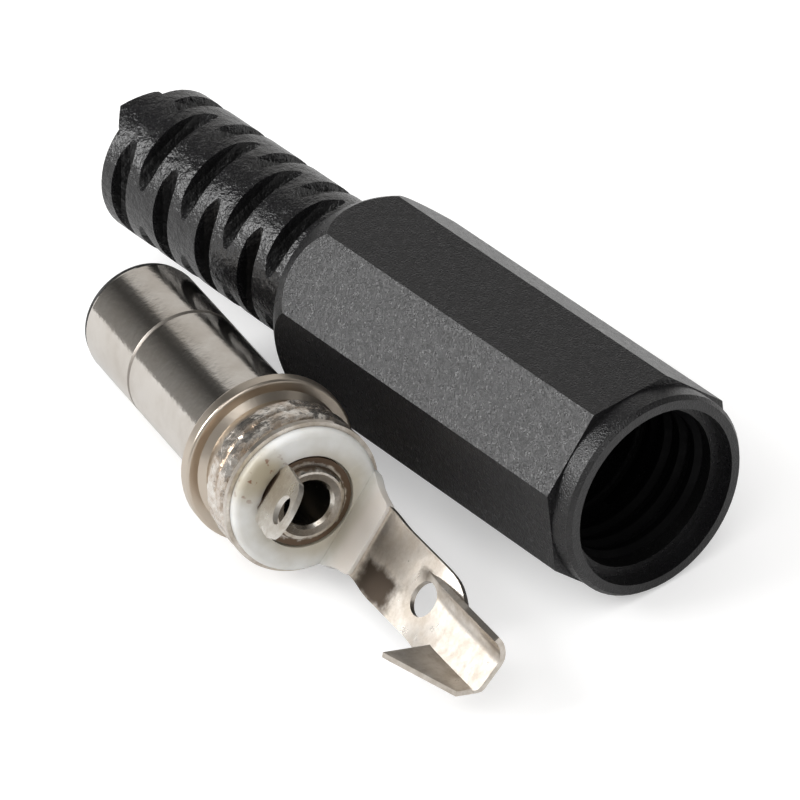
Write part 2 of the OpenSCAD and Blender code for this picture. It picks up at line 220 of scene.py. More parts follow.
# The cover: one moulding in black thermoplastic. Its eight flats carry the fine grain of the
# eroded mould. Its strain relief is smoother and a little glossier, and the insides of its
# slots and bore are painted darker, as painted shade.
cover_axis_height = 4.69
relief_start = -11.45
slot_rim = 3.34
slot_depth = 3.10
bore_wall = 3.72
bore_end = -9.0
# Painted shade: the colour the slots and bore are painted, standing in for the shade in them.
inside_painted_shade = (0.002, 0.002, 0.0022)
inside_roughness = 0.36


def noise(tree, scale, detail, roughness=0.5, **settings):
    made = node(tree, "ShaderNodeTexNoise", **settings)
    made.inputs["Scale"].default_value = scale
    made.inputs["Detail"].default_value = detail
    made.inputs["Roughness"].default_value = roughness
    return made


def two_tones(tree, low, low_colour, high, high_colour):
    made = node(tree, "ShaderNodeValToRGB")
    first, last = made.color_ramp.elements
    first.position, first.color = low, (*low_colour, 1)
    last.position, last.color = high, (*high_colour, 1)
    return made


def towards(tree, colour):
    made = node(tree, "ShaderNodeMixRGB")
    made.inputs["Color2"].default_value = (*colour, 1)
    return made


def towards_value(tree, value):
    made = node(tree, "ShaderNodeMix")
    made.inputs["B"].default_value = value
    return made


def bump(tree, distance, strength=1.0):
    made = node(tree, "ShaderNodeBump")
    made.inputs["Strength"].default_value = strength
    made.inputs["Distance"].default_value = distance
    return made


def dress(piece, material):
    piece.data.materials.clear()
    piece.data.materials.append(material)


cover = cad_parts["cover"]
moulded_black, tree = new_material("moulded_black")
place = node(tree, "ShaderNodeTexCoord")
grain = noise(tree, 14000, 1)
blotch = noise(tree, 3600, 6, 0.65)
ripple = noise(tree, 1300, 4, 0.7)
shade = two_tones(tree, 0.35, (0.0022, 0.0022, 0.0026), 0.7, (0.010, 0.0096, 0.011))
gloss = remap(tree, start=0.35, end=0.65, low=0.40, high=0.24)
parts = node(tree, "ShaderNodeSeparateXYZ")
across_axis = vector_maths(tree, "MULTIPLY", (0, 1, 1))
off_axis = vector_maths(tree, "SUBTRACT", (0, 0, cover_axis_height * mm))
from_axis = vector_maths(tree, "LENGTH")
on_relief = maths(tree, "LESS_THAN", relief_start * mm)
below_rim = remap(tree, start=slot_rim * mm, end=slot_depth * mm)
in_slots = maths(tree, "MULTIPLY")
within_wall = maths(tree, "LESS_THAN", bore_wall * mm)
before_end = maths(tree, "GREATER_THAN", bore_end * mm)
in_bore = maths(tree, "MULTIPLY")
inside = maths(tree, "MAXIMUM")
# Painted shade: inside the slots and the bore the colour turns towards this near-black.
darker = towards(tree, inside_painted_shade)
duller = towards_value(tree, inside_roughness)
relief_gloss = maths(tree, "MULTIPLY_ADD", -0.06)
grain_strength = maths(tree, "MULTIPLY_ADD", -0.75, 1.0)
grain_depth = bump(tree, 0.034 * mm)
ripple_strength = maths(tree, "MULTIPLY", 0.9)
ripple_depth = bump(tree, 0.15 * mm)
skin = node(tree, "ShaderNodeBsdfPrincipled")
skin.inputs["Specular IOR Level"].default_value = 0.72
out = node(tree, "ShaderNodeOutputMaterial")
for texture in (grain, blotch, ripple):
    wire(tree, place.outputs["Object"], texture.inputs["Vector"])
wire(tree, place.outputs["Object"], parts.inputs[0])
wire(tree, place.outputs["Object"], across_axis.inputs[0])
wire(tree, across_axis.outputs[0], off_axis.inputs[0])
wire(tree, off_axis.outputs[0], from_axis.inputs[0])
wire(tree, parts.outputs["X"], on_relief.inputs[0])
wire(tree, from_axis.outputs["Value"], below_rim.inputs["Value"])
wire(tree, below_rim.outputs["Result"], in_slots.inputs[0])
wire(tree, on_relief.outputs[0], in_slots.inputs[1])
wire(tree, from_axis.outputs["Value"], within_wall.inputs[0])
wire(tree, parts.outputs["X"], before_end.inputs[0])
wire(tree, within_wall.outputs[0], in_bore.inputs[0])
wire(tree, before_end.outputs[0], in_bore.inputs[1])
wire(tree, in_slots.outputs[0], inside.inputs[0])
wire(tree, in_bore.outputs[0], inside.inputs[1])
wire(tree, blotch.outputs["Fac"], shade.inputs["Fac"])
wire(tree, inside.outputs[0], darker.inputs["Fac"])
wire(tree, shade.outputs["Color"], darker.inputs["Color1"])
wire(tree, darker.outputs["Color"], skin.inputs["Base Color"])
wire(tree, blotch.outputs["Fac"], gloss.inputs["Value"])
wire(tree, inside.outputs[0], duller.inputs["Factor"])
wire(tree, gloss.outputs["Result"], duller.inputs["A"])
wire(tree, on_relief.outputs[0], relief_gloss.inputs[0])
wire(tree, duller.outputs["Result"], relief_gloss.inputs[2])
wire(tree, relief_gloss.outputs[0], skin.inputs["Roughness"])
wire(tree, on_relief.outputs[0], grain_strength.inputs[0])
wire(tree, grain_strength.outputs[0], grain_depth.inputs["Strength"])
wire(tree, grain.outputs["Fac"], grain_depth.inputs["Height"])
wire(tree, on_relief.outputs[0], ripple_strength.inputs[0])
wire(tree, ripple_strength.outputs[0], ripple_depth.inputs["Strength"])
wire(tree, ripple.outputs["Fac"], ripple_depth.inputs["Height"])
wire(tree, grain_depth.outputs["Normal"], ripple_depth.inputs["Normal"])
wire(tree, ripple_depth.outputs["Normal"], skin.inputs["Normal"])
wire(tree, skin.outputs[0], out.inputs["Surface"])
dress(cover, moulded_black)


# The cover's thread: a right-hand ridge moulded in one with the bore behind the mouth.
# It is made as its own mesh, sunk a little into the wall that carries it.
def screw_ridge(name, stand, first, last, pitch, root, crest, base, tip, segments, torn):
    fade_turns = 0.35
    points, faces = [], []
    wander = random.Random(7)
    turns = (last - first) / pitch
    steps = int(turns * segments)
    fade = fade_turns * segments
    for i in range(steps + 1):
        angle = 2 * math.pi * i / segments
        along = first + pitch * i / segments
        grow = max(0.02, min(1, i / fade, (steps - i) / fade))
        top = root + (crest - root) * grow
        left_top, right_top = (top + torn * wander.uniform(-1, 0.4) for _ in range(2))
        edge = tip / 2 + torn * wander.uniform(-1.5, 1.5)
        for r, offset in ((root, -base / 2), (left_top, -edge),
                          (right_top, edge), (root, base / 2)):
            local = Vector((r * math.cos(angle), r * math.sin(angle), along + offset)) * mm
            points.append(stand @ local)
    for i in range(steps):
        a, b = 4 * i, 4 * i + 4
        for k in range(4):
            n = (k + 1) % 4
            faces.append((a + k, a + n, b + n, b + k))
    faces.append((0, 1, 2, 3))
    last_ring = 4 * steps
    faces.append((last_ring + 3, last_ring + 2, last_ring + 1, last_ring))
    mesh = bpy.data.meshes.new(name)
    mesh.from_pydata(points, [], faces)
    mesh.validate()
    ridge = bpy.data.objects.new(name, mesh)
    bpy.context.collection.objects.link(ridge)
    bpy.context.view_layer.objects.active = ridge
    bpy.ops.object.mode_set(mode="EDIT")
    bpy.ops.mesh.select_all(action="SELECT")
    bpy.ops.mesh.normals_make_consistent(inside=False)
    bpy.ops.object.mode_set(mode="OBJECT")
    for face in mesh.polygons:
        face.use_smooth = True
    mesh.set_sharp_from_angle(angle=math.radians(30))
    return ridge


along_cover = (Matrix.Translation(Vector((0, 0, cover_axis_height)) * mm)
               @ Matrix.Rotation(math.radians(90), 4, "Y"))
cover_thread = screw_ridge("cover_thread", along_cover, first=5.2, last=9.0, pitch=1.0,
                           root=3.68, crest=3.40, base=0.8, tip=0.30, segments=72, torn=0)
# Painted shade: the thread is the cover's plastic made darker and nearly without gloss,
# standing in for the shade inside the bore.
thread_painted_shade, tree = new_material("thread_painted_shade")
place = node(tree, "ShaderNodeTexCoord")
scuff = noise(tree, 1400, 4)
scuff_gloss = remap(tree, low=0.22, high=0.60)
scuff_depth = bump(tree, 0.08 * mm, 0.6)
skin = node(tree, "ShaderNodeBsdfPrincipled")
skin.inputs["Base Color"].default_value = (0.0022, 0.0022, 0.0025, 1)
skin.inputs["Specular IOR Level"].default_value = 0.07
out = node(tree, "ShaderNodeOutputMaterial")
wire(tree, place.outputs["Object"], scuff.inputs["Vector"])
wire(tree, scuff.outputs["Fac"], scuff_gloss.inputs["Value"])
wire(tree, scuff_gloss.outputs["Result"], skin.inputs["Roughness"])
wire(tree, scuff.outputs["Fac"], scuff_depth.inputs["Height"])
wire(tree, scuff_depth.outputs["Normal"], skin.inputs["Normal"])
wire(tree, skin.outputs[0], out.inputs["Surface"])
cover_thread.data.materials.append(thread_painted_shade)
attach(cover_thread, "root")


# The contact sleeve: barrel, flange, neck and collar turned from one brass bar and nickel
# plated. The plating is bright, with faint turning lines round it and fine pits. The barrel's
# crease is painted darker as shade, and the plating is dull from the flange back.
barrel_length = 13.2
crease_at = 4.9
lay_turn = math.radians(-12.9)
lay_tilt = math.radians(-4.808803)
lay_roll = math.radians(49)
laid = (Matrix.Translation(Vector((-4.8, -9.29, 3.82681)) * mm)
        @ Matrix.Rotation(lay_turn, 4, "Z")
        @ Matrix.Rotation(lay_tilt, 4, "Y")
        @ Matrix.Rotation(math.radians(90), 4, "Y")
        @ Matrix.Rotation(lay_roll, 4, "Z")
        @ Matrix.Translation(Vector((0, 0, -barrel_length)) * mm))
plug_axis = (laid.to_3x3() @ Vector((0, 0, 1))).normalized()
plug_tip = laid @ Vector((0, 0, 0))


# Each zone of painted shade, painted reflection or dull plating gives the distance that it is
# measured by, the distance where it is full, the one where it ends, its colour and its
# roughness.
def plated(name, colour, dark, rough, lines, pits, clouds, zones):
    material, tree = new_material(name)
    place = node(tree, "ShaderNodeTexCoord")
    station = vector_maths(tree, "DOT_PRODUCT", plug_axis)
    line = noise(tree, lines[0], 3, noise_dimensions="1D")
    cloud = noise(tree, clouds, 6, 0.65)
    pitting = noise(tree, pits[0], 3)
    tone = two_tones(tree, 0.36, dark, 0.62, colour)
    gloss = remap(tree, start=0.3, end=0.7, low=rough[1], high=rough[0])
    line_depth = bump(tree, lines[1], 0.4)
    pit_depth = bump(tree, pits[1], 0.5)
    skin = node(tree, "ShaderNodeBsdfPrincipled")
    skin.inputs["Metallic"].default_value = 1
    out = node(tree, "ShaderNodeOutputMaterial")
    wire(tree, place.outputs["Object"], station.inputs[0])
    wire(tree, station.outputs["Value"], line.inputs["W"])
    wire(tree, place.outputs["Object"], cloud.inputs["Vector"])
    wire(tree, place.outputs["Object"], pitting.inputs["Vector"])
    wire(tree, cloud.outputs["Fac"], tone.inputs["Fac"])
    wire(tree, cloud.outputs["Fac"], gloss.inputs["Value"])
    colour_out, rough_out = tone.outputs["Color"], gloss.outputs["Result"]
    for zone in zones:
        distance, full, none, zone_colour, zone_rough = zone(tree, place)
        spot = remap(tree, start=none, end=full, interpolation_type="SMOOTHSTEP")
        tinted = towards(tree, zone_colour)
        roughened = towards_value(tree, zone_rough)
        wire(tree, distance, spot.inputs["Value"])
        wire(tree, spot.outputs["Result"], tinted.inputs["Fac"])
        wire(tree, colour_out, tinted.inputs["Color1"])
        wire(tree, spot.outputs["Result"], roughened.inputs["Factor"])
        wire(tree, rough_out, roughened.inputs["A"])
        colour_out, rough_out = tinted.outputs["Color"], roughened.outputs["Result"]
    wire(tree, colour_out, skin.inputs["Base Color"])
    wire(tree, rough_out, skin.inputs["Roughness"])
    wire(tree, line.outputs["Fac"], line_depth.inputs["Height"])
    wire(tree, pitting.outputs["Fac"], pit_depth.inputs["Height"])
    wire(tree, line_depth.outputs["Normal"], pit_depth.inputs["Normal"])
    wire(tree, pit_depth.outputs["Normal"], skin.inputs["Normal"])
    wire(tree, skin.outputs[0], out.inputs["Surface"])
    return material


def along_plug(tree, place):
    station = vector_maths(tree, "DOT_PRODUCT", plug_axis)
    from_tip = maths(tree, "SUBTRACT", plug_axis.dot(plug_tip))
    wire(tree, place.outputs["Object"], station.inputs[0])
    wire(tree, station.outputs["Value"], from_tip.inputs[0])
    return from_tip.outputs[0]


# Painted shade: the crease is coloured darker, standing in for the shade in the groove.
def crease_painted_shade(tree, place):
    from_crease = maths(tree, "SUBTRACT", crease_at * mm)
    either_side = maths(tree, "ABSOLUTE")
    wire(tree, along_plug(tree, place), from_crease.inputs[0])
    wire(tree, from_crease.outputs[0], either_side.inputs[0])
    return either_side.outputs[0], 0.08 * mm, 0.16 * mm, (0.34, 0.31, 0.28), 0.45


def dull_shoulder(tree, place):
    return along_plug(tree, place), 13.18 * mm, 13.05 * mm, (0.66, 0.58, 0.49), 0.30


barrel_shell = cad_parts["barrel_shell"]
bright_nickel = plated("bright_nickel", colour=(0.77, 0.73, 0.68), dark=(0.66, 0.61, 0.55),
                       rough=(0.08, 0.17), lines=(9000, 0.002 * mm), pits=(4200, 0.011 * mm),
                       clouds=420, zones=[crease_painted_shade, dull_shoulder])
dress(barrel_shell, bright_nickel)


# The collar's thread: a right-hand ridge cut into the same turning, so of the same plated
# brass. Its crests are torn and a little duller than the barrel, where the plating is thin.
collar_thread = screw_ridge("collar_thread", laid, first=15.06, last=16.70, pitch=0.80,
                            root=3.22, crest=3.49, base=0.76, tip=0.52, segments=120,
                            torn=0.035)
# Painted highlight: the thread's plating is coloured much lighter than the barrel's, standing
# in for the glints on its crests.
thread_nickel_painted_highlight = plated("thread_nickel_painted_highlight", colour=(0.95, 0.91, 0.85), dark=(0.60, 0.50, 0.41),
                       rough=(0.16, 0.34), lines=(14000, 0.003 * mm), pits=(1200, 0.24 * mm),
                       clouds=1500, zones=[])
collar_thread.data.materials.append(thread_nickel_painted_highlight)
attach(collar_thread, "root")


# The front bush: a black moulding pressed into the barrel's open end. It holds the centre
# contact in the middle and keeps it apart from the barrel.
front_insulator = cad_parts["front_insulator"]
bush_black, tree = new_material("bush_black")
place = node(tree, "ShaderNodeTexCoord")
cloud = noise(tree, 1500, 4)
shade = two_tones(tree, 0, (0.008, 0.008, 0.008), 1, (0.025, 0.024, 0.023))
gloss = remap(tree, low=0.25, high=0.45)
skin = node(tree, "ShaderNodeBsdfPrincipled")
out = node(tree, "ShaderNodeOutputMaterial")
wire(tree, place.outputs["Object"], cloud.inputs["Vector"])
wire(tree, cloud.outputs["Fac"], shade.inputs["Fac"])
wire(tree, shade.outputs["Color"], skin.inputs["Base Color"])
wire(tree, cloud.outputs["Fac"], gloss.inputs["Value"])
wire(tree, gloss.outputs["Result"], skin.inputs["Roughness"])
wire(tree, skin.outputs[0], out.inputs["Surface"])
dress(front_insulator, bush_black)


# The bush's lip: the front rim of the same black moulding. It stands out of the barrel and
# lies as a thin round ring over the barrel's edge.
def add_piece(name, points, faces):
    mesh = bpy.data.meshes.new(name)
    mesh.from_pydata(points, [], faces)
    mesh.validate()
    made = bpy.data.objects.new(name, mesh)
    bpy.context.collection.objects.link(made)
    return made


def turned_part(name, profile, segments, matrix):
    points, faces = [], []
    for r, z in profile:
        for i in range(segments):
            a = 2 * math.pi * i / segments
            points.append(matrix @ (Vector((r * math.cos(a), r * math.sin(a), z)) * mm))
    for k in range(len(profile)):
        m = (k + 1) % len(profile)
        for i in range(segments):
            n = (i + 1) % segments
            faces.append((k * segments + i, k * segments + n,
                          m * segments + n, m * segments + i))
    return add_piece(name, points, faces)


lip_profile = [(2.30, 0.04), (2.67, 0.06), (2.69, 0.0), (2.68, -0.10),
               (2.62, -0.18), (2.52, -0.23), (2.35, -0.25), (2.30, -0.24)]
bush_lip = turned_part("bush_lip", lip_profile, 128, laid)
for face in bush_lip.data.polygons:
    face.use_smooth = True
bush_lip.data.materials.append(bush_black)
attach(bush_lip, "root")


# The centre contact: a drawn brass tube, nickel plated, forked at the front. Its rear rim is
# rolled over the centre lug's washer and polished by the tool, with painted shade round it.
rear_rim_at = 17.9
shade_wander = 0.5


# Painted shade: a darker brown ring round the plug's axis, only up to the contact's rear rim,
# standing in for the shade down in the insulator's recess.
def ring_painted_shade(tree, place, middle, full, none, colour, rough):
    from_tip = vector_maths(tree, "SUBTRACT", plug_tip)
    off_axis = vector_maths(tree, "CROSS_PRODUCT", plug_axis)
    radius = vector_maths(tree, "LENGTH")
    shade_mottle = noise(tree, 2600, 4)
    wander = maths(tree, "MULTIPLY_ADD", shade_wander * mm)
    offset = maths(tree, "SUBTRACT", (middle + shade_wander / 2) * mm)
    either_side = maths(tree, "ABSOLUTE")
    above = maths(tree, "SUBTRACT", rear_rim_at * mm)
    furthest = maths(tree, "MAXIMUM")
    wire(tree, place.outputs["Object"], from_tip.inputs[0])
    wire(tree, from_tip.outputs[0], off_axis.inputs[0])
    wire(tree, off_axis.outputs[0], radius.inputs[0])
    wire(tree, place.outputs["Object"], shade_mottle.inputs["Vector"])
    wire(tree, shade_mottle.outputs["Fac"], wander.inputs[0])
    wire(tree, radius.outputs["Value"], wander.inputs[2])
    wire(tree, wander.outputs[0], offset.inputs[0])
    wire(tree, offset.outputs[0], either_side.inputs[0])
    wire(tree, along_plug(tree, place), above.inputs[0])
    wire(tree, either_side.outputs[0], furthest.inputs[0])
    wire(tree, above.outputs[0], furthest.inputs[1])
    return furthest.outputs[0], full * mm, none * mm, colour, rough


def eyelet_painted_shade(tree, place):
    return ring_painted_shade(tree, place, middle=1.74, full=0.06, none=0.20,
                     colour=(0.20, 0.15, 0.11), rough=0.5)


centre_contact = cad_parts["centre_contact"]
contact_nickel = plated("contact_nickel", colour=(0.74, 0.70, 0.64), dark=(0.46, 0.40, 0.33),
                        rough=(0.14, 0.30), lines=(12000, 0.001 * mm), pits=(4000, 0.01 * mm),
                        clouds=1600, zones=[eyelet_painted_shade])
dress(centre_contact, contact_nickel)


# The centre lug: a washer and a round-ended leaf stamped in one from brass sheet, nickel
# plated. The leaf is bent up from the washer's rim and leans out a little, with a wire hole.
washer_top = 17.65
washer_bore = 1.28
washer_rim = 2.05
leaf_sheet = 0.25
leaf_width = 2.66
leaf_length = 3.31
leaf_out = math.radians(11.0)
leaf_round = 1.15
leaf_aside = -0.05
leaf_crown = 0.10
foot_half_width = 0.98
foot_inner = 1.30
foot_run = 0.3
knee_at = 1.60
knee_radius = 0.2
shoulder_rise = 0.45
leaf_hole_radius = 0.66
leaf_hole_up = 2.4
leaf_hole_lift = 0.15


def sheet_grid(rows, columns, place, points, faces):
    first = len(points)
    for i in range(rows + 1):
        for j in range(columns + 1):
            points.append(place(i / rows, j / columns))
    for i in range(rows):
        for j in range(columns):
            a = first + i * (columns + 1) + j
            faces.append((a, a + 1, a + columns + 2, a + columns + 1))


def cylinder_points(radius, low, high, segments, matrix):
    points, faces = [], []
    for level in (low, high):
        for i in range(segments):
            a = 2 * math.pi * i / segments
            local = Vector((radius * math.cos(a), radius * math.sin(a), level)) * mm
            points.append(matrix @ local)
    for i in range(segments):
        n = (i + 1) % segments
        faces.append((i, n, segments + n, segments + i))
    faces.append(tuple(reversed(range(segments))))
    faces.append(tuple(range(segments, 2 * segments)))
    return points, faces


# A washer, or one whose rim is cut straight at the chord.
def seat_washer(name, inner, outer, low, high, matrix, chord=math.inf):
    points, faces = [], []
    segments = 96
    for radius in (inner, outer):
        for level in (low, high):
            for i in range(segments):
                angle = 2 * math.pi * i / segments
                x = min(radius * math.cos(angle), chord)
                points.append(matrix @ (Vector((x, radius * math.sin(angle), level)) * mm))
    a, b, c, d = 0, segments, 2 * segments, 3 * segments
    for i in range(segments):
        n = (i + 1) % segments
        faces += [(a + n, a + i, b + i, b + n), (c + i, c + n, d + n, d + i),
                  (a + i, a + n, c + n, c + i), (b + n, b + i, d + i, d + n)]
    return add_piece(name, points, faces)


def finish_shape(piece, thickness, cutters, joined, edge, steps=2):
    if thickness:
        thick = piece.modifiers.new("thickness", "SOLIDIFY")
        thick.thickness = thickness * mm
        thick.offset = -1
        thick.use_even_offset = True
    for operation, others in (("UNION", joined), ("DIFFERENCE", cutters)):
        for other in others:
            change = piece.modifiers.new(operation.lower(), "BOOLEAN")
            change.operation = operation
            change.solver = "EXACT"
            change.object = other
    round_edge = piece.modifiers.new("edge", "BEVEL")
    round_edge.width = edge * mm
    round_edge.segments = steps
    round_edge.limit_method = "ANGLE"
    round_edge.angle_limit = math.radians(50)
    round_edge.use_clamp_overlap = True
    graph = bpy.context.evaluated_depsgraph_get()
    made = bpy.data.meshes.new_from_object(piece.evaluated_get(graph))
    piece.modifiers.clear()
    piece.data = made
    for face in made.polygons:
        face.use_smooth = True
    made.set_sharp_from_angle(angle=math.radians(32))
    for other in cutters + joined:
        bpy.data.objects.remove(other)


def smooth_step(k):
    return k * k * (3 - 2 * k)


def leaf_place(v, u):
    side = 2 * u - 1
    rounded = leaf_round * (1 - math.sqrt(max(0, 1 - 0.97 * side * side)))
    turn = math.pi / 2 - leaf_out
    knee = knee_radius * turn
    along = v * (foot_run + knee + leaf_length - rounded)
    if along < foot_run:
        x, z, widen = -foot_inner - along, 0, 0.0
    elif along < foot_run + knee:
        a = (along - foot_run) / knee_radius
        x, z = -knee_at - knee_radius * math.sin(a), knee_radius * (1 - math.cos(a))
        widen = 0.0
    else:
        rest = along - foot_run - knee
        x = -knee_at - knee_radius * math.sin(turn) - rest * math.cos(turn)
        z = knee_radius * (1 - math.cos(turn)) + rest * math.sin(turn)
        widen = smooth_step(min(1, rest / shoulder_rise))
    half = foot_half_width + (leaf_width / 2 - foot_half_width) * widen
    bulge = leaf_crown * (1 - side * side) * widen
    return laid @ (Vector((x - bulge, leaf_aside + half * side, washer_top + z)) * mm)


# Painted shade: the washer's rim and the foot of the leaf, down in the recess, are coloured
# darker brown.
def washer_painted_shade(tree, place):
    return ring_painted_shade(tree, place, middle=2.02, full=0.16, none=0.30,
                     colour=(0.17, 0.12, 0.085), rough=0.5)


points, faces = [], []
sheet_grid(46, 24, leaf_place, points, faces)
centre_leaf = add_piece("centre_leaf", points, faces)
hole_at = Vector((-knee_at - knee_radius - leaf_hole_up * math.sin(leaf_out), leaf_aside,
                  washer_top + leaf_hole_lift + leaf_hole_up * math.cos(leaf_out))) * mm
through = (laid @ Matrix.Translation(hole_at)
           @ Matrix.Rotation(-math.pi / 2 - leaf_out, 4, "Y"))
leaf_hole = add_piece("leaf_hole", *cylinder_points(leaf_hole_radius, low=-0.8, high=0.8,
                                                    segments=48, matrix=through))
leaf_washer = seat_washer("leaf_washer", washer_bore, washer_rim, washer_top - leaf_sheet,
                          washer_top, laid)
finish_shape(centre_leaf, leaf_sheet, [leaf_hole], [leaf_washer], edge=0.035)
leaf_nickel = plated("leaf_nickel", colour=(0.82, 0.79, 0.74), dark=(0.58, 0.53, 0.46),
                     rough=(0.24, 0.42), lines=(3000, 0.001 * mm), pits=(3000, 0.014 * mm),
                     clouds=1300, zones=[washer_painted_shade])
centre_leaf.data.materials.append(leaf_nickel)
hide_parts("centre_lug")
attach(centre_leaf, "root")


# The rear insulator: a milky white moulding, a little translucent. Its stem fills the barrel,
# its disc backs the collar, and its tongue carries the lug's strip out of the cover's thread.
disc_face = 17.7
disc_radius = 3.3
disc_round = 0.28
stem_front = 13.2
stem_radius = 2.4
stem_bore = 1.29
seat_back = 17.2
recess_radius = 2.15
recess_floor = 17.4
tongue_inner = 2.18
tongue_outer = 2.6
tongue_end = 19.85


def plate(name, outline, low, high, matrix):
    points = [matrix @ (Vector((low, y, z)) * mm) for y, z in outline]
    points += [matrix @ (Vector((high, y, z)) * mm) for y, z in outline]
    count = len(outline)
    faces = [(i, (i + 1) % count, count + (i + 1) % count, count + i) for i in range(count)]
    faces += [tuple(reversed(range(count))), tuple(range(count, 2 * count))]
    piece = add_piece(name, points, faces)
    shape = bmesh.new()
    shape.from_mesh(piece.data)
    bmesh.ops.recalc_face_normals(shape, faces=shape.faces)
    shape.to_mesh(piece.data)
    shape.free()
    return piece


disc_profile = [(stem_bore, stem_front), (stem_radius, stem_front), (stem_radius, seat_back),
                (disc_radius - 0.02, seat_back), (disc_radius, seat_back + 0.02)]
disc_profile += [(disc_radius - disc_round + disc_round * math.cos(a),
                  disc_face - disc_round + disc_round * math.sin(a))
                 for a in [math.radians(15 * k) for k in range(7)]]
disc_profile += [(stem_bore, disc_face)]
half_outline = [(2.30, 17.3), (2.30, 17.75), (2.20, 18.05), (2.02, 18.45), (1.88, 18.95),
                (1.80, 19.4), (1.76, 19.62), (1.68, 19.78), (1.55, tongue_end)]
tongue_outline = half_outline + [(-y, z) for y, z in reversed(half_outline)]
insulator = turned_part("insulator", disc_profile, 128, laid)
side_away = plate("side_away", [(-5, 10), (5, 10), (5, 25), (-5, 25)], tongue_outer, 5, laid)
tongue = plate("tongue", tongue_outline, tongue_inner, tongue_outer, laid)
recess = add_piece("recess", *cylinder_points(recess_radius, recess_floor, 22, 96, laid))
finish_shape(insulator, None, [side_away], [], edge=0.02)
finish_shape(insulator, None, [recess], [tongue], edge=0.07, steps=3)
milky_white, tree = new_material("milky_white")
place = node(tree, "ShaderNodeTexCoord")
cloud = noise(tree, 600, 5)
shade = two_tones(tree, 0.3, (0.66, 0.65, 0.61), 0.62, (0.79, 0.79, 0.77))
# Painted shade: a yellow-brown patch on the disc face beside the leaf's root, under its lean,
# standing in for the shade between leaf and disc. The rust specks in it and the brown ring
# round the recess are stains.
leaf_shade_way = vector_maths(tree, "DISTANCE", laid @ (Vector((-2.45, 0.25, disc_face)) * mm))
leaf_shade_wander = maths(tree, "MULTIPLY_ADD", 1.1 * mm)
leaf_painted_shade = remap(tree, start=2.3 * mm, end=0.9 * mm, high=0.85,
              interpolation_type="SMOOTHSTEP")
ring_way = vector_maths(tree, "DISTANCE", laid @ (Vector((0.25, -0.1, disc_face)) * mm))
ring_wander = maths(tree, "MULTIPLY_ADD", 0.7 * mm)
ring_stain = remap(tree, start=3.4 * mm, end=2.4 * mm, high=0.60,
                   interpolation_type="SMOOTHSTEP")
stain_and_shade = maths(tree, "MAXIMUM")
stained_and_shaded = towards(tree, (0.42, 0.36, 0.24))
rust = noise(tree, 2600, 2)
rust_spots = remap(tree, start=0.63, end=0.69)
rust_here = maths(tree, "MULTIPLY")
rusted = towards(tree, (0.20, 0.06, 0.02))
warm_end = remap(tree, start=17.8 * mm, end=19.0 * mm, high=0.8,
                 interpolation_type="SMOOTHSTEP")
warmed = towards(tree, (0.72, 0.66, 0.60))
wave = bump(tree, 0.04 * mm, 0.35)
skin = node(tree, "ShaderNodeBsdfPrincipled")
skin.inputs["Roughness"].default_value = 0.36
skin.inputs["Subsurface Weight"].default_value = 0.4
skin.inputs["Subsurface Radius"].default_value = (1.0, 0.95, 0.85)
skin.inputs["Subsurface Scale"].default_value = 0.6 * mm
out = node(tree, "ShaderNodeOutputMaterial")
wire(tree, place.outputs["Object"], cloud.inputs["Vector"])
wire(tree, place.outputs["Object"], rust.inputs["Vector"])
for way, wander, stain in ((leaf_shade_way, leaf_shade_wander, leaf_painted_shade),
                           (ring_way, ring_wander, ring_stain)):
    wire(tree, place.outputs["Object"], way.inputs[0])
    wire(tree, cloud.outputs["Fac"], wander.inputs[0])
    wire(tree, way.outputs["Value"], wander.inputs[2])
    wire(tree, wander.outputs[0], stain.inputs["Value"])
wire(tree, leaf_painted_shade.outputs["Result"], stain_and_shade.inputs[0])
wire(tree, ring_stain.outputs["Result"], stain_and_shade.inputs[1])
wire(tree, cloud.outputs["Fac"], shade.inputs["Fac"])
wire(tree, stain_and_shade.outputs[0], stained_and_shaded.inputs["Fac"])
wire(tree, shade.outputs["Color"], stained_and_shaded.inputs["Color1"])
wire(tree, rust.outputs["Fac"], rust_spots.inputs["Value"])
wire(tree, rust_spots.outputs["Result"], rust_here.inputs[0])
wire(tree, leaf_painted_shade.outputs["Result"], rust_here.inputs[1])
wire(tree, rust_here.outputs[0], rusted.inputs["Fac"])
wire(tree, stained_and_shaded.outputs["Color"], rusted.inputs["Color1"])
wire(tree, along_plug(tree, place), warm_end.inputs["Value"])
wire(tree, warm_end.outputs["Result"], warmed.inputs["Fac"])
wire(tree, rusted.outputs["Color"], warmed.inputs["Color1"])
wire(tree, warmed.outputs["Color"], skin.inputs["Base Color"])
wire(tree, cloud.outputs["Fac"], wave.inputs["Height"])
wire(tree, wave.outputs["Normal"], skin.inputs["Normal"])
wire(tree, skin.outputs[0], out.inputs["Surface"])
insulator.data.materials.append(milky_white)
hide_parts("rear_insulator")
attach(insulator, "root")


# The sleeve lug: one blank of rolled brass sheet, nickel plated. It is bent up behind the
# disc, runs out as a strip with its wire hole, and is pressed to a trough with two crimp ears.
lug_sheet = 0.25
ring_bore = 2.4
ring_rim = 3.5
ring_front = 16.95
ring_cut = 2.84
foot_flat = 0.35
foot_corner = 0.05
strip_half = 1.72
strip_set = math.radians(5.8)
strip_twist = math.radians(-3.2)
strip_twist_over = 1.6
trough_twist = math.radians(-3.3)
trough_twist_from = 4.6
trough_twist_over = 2.6
wire_hole_at = 4.68
wire_hole_aside = 0.02
wire_hole_radius = 0.78
low_bend_at = 1.02
low_bend_radius = 0.22
low_ear_angle = math.radians(58)
low_ear_front = 6.58
low_ear_end = 10.23
low_ear_length = 2.25
low_ear_taper = 1.5
trough_stop = 10.58
low_step = 0.37
low_step_outer = 1.17
low_step_inner = 0.77
slope_from = 0.8
slope_over = 1.13
